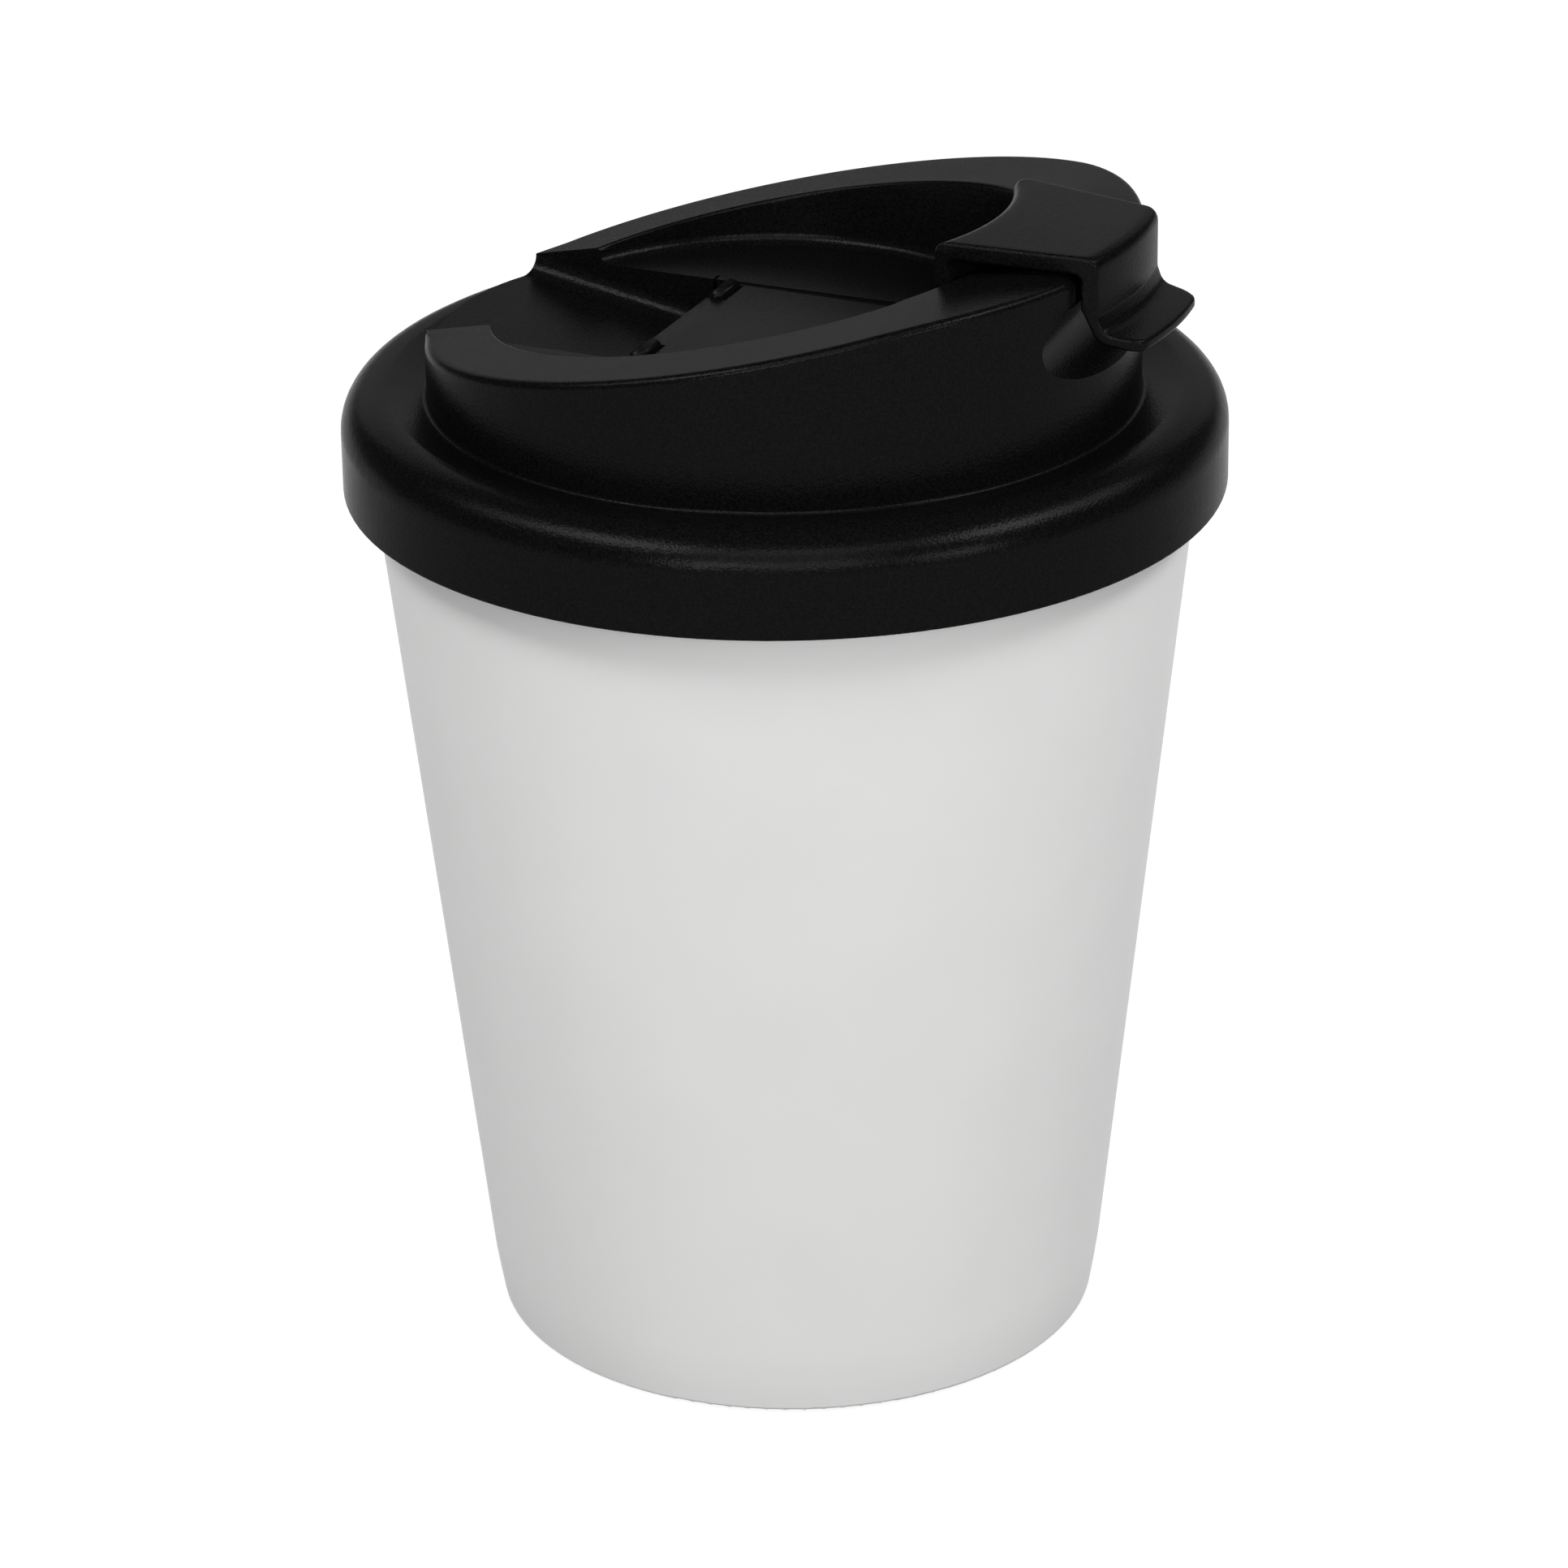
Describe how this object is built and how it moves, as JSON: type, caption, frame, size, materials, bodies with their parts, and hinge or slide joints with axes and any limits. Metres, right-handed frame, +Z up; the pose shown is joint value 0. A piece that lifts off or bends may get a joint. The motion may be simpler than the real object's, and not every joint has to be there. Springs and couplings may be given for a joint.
{
  "type": "reusable coffee tumbler with flip lid",
  "caption": "Tapered reusable plastic coffee tumbler with a screw-on lid, a raised sloping drinking ring and a hinged flap that clips over the drinking slot.",
  "frame": {"origin": "centre of the cup's base, on the surface it stands on", "axes": "+Z up along the cup's axis, +X towards the drinking side and the flap's tab, +Y along the flap's hinge"},
  "size_m": [0.09, 0.09, 0.1225],
  "materials": {
    "cup_white": "satin",
    "lid_black": "fine moulded texture",
    "seal_rubber": "matte"
  },
  "bodies": {
    "cup_body": {"cup": "cup_white"},
    "gasket_body": {"gasket": "seal_rubber"},
    "lid_body": {"lid": "lid_black"},
    "flap_body": {"flap": "lid_black", "drink_seal": "seal_rubber"}
  },
  "joints": [
    {"name": "lid_rise", "type": "slide", "parent": "cup_body", "child": "gasket_body", "axis": [0, 0, 1], "range_m": [0, 0.004]},
    {"name": "lid_twist", "type": "hinge", "parent": "gasket_body", "child": "lid_body", "pos_m": [0, 0, 0.1], "axis": [0, 0, 1], "range_deg": [0, 360]},
    {"name": "flap_hinge", "type": "hinge", "parent": "lid_body", "child": "flap_body", "pos_m": [-0.0109, 0, 0.1055], "axis": [0, -1, 0], "range_deg": [0, 165]}
  ],
  "couplings": [
    {"joint": "lid_rise", "follows": "lid_twist", "m_per_rad": 0.0006366}
  ]
}
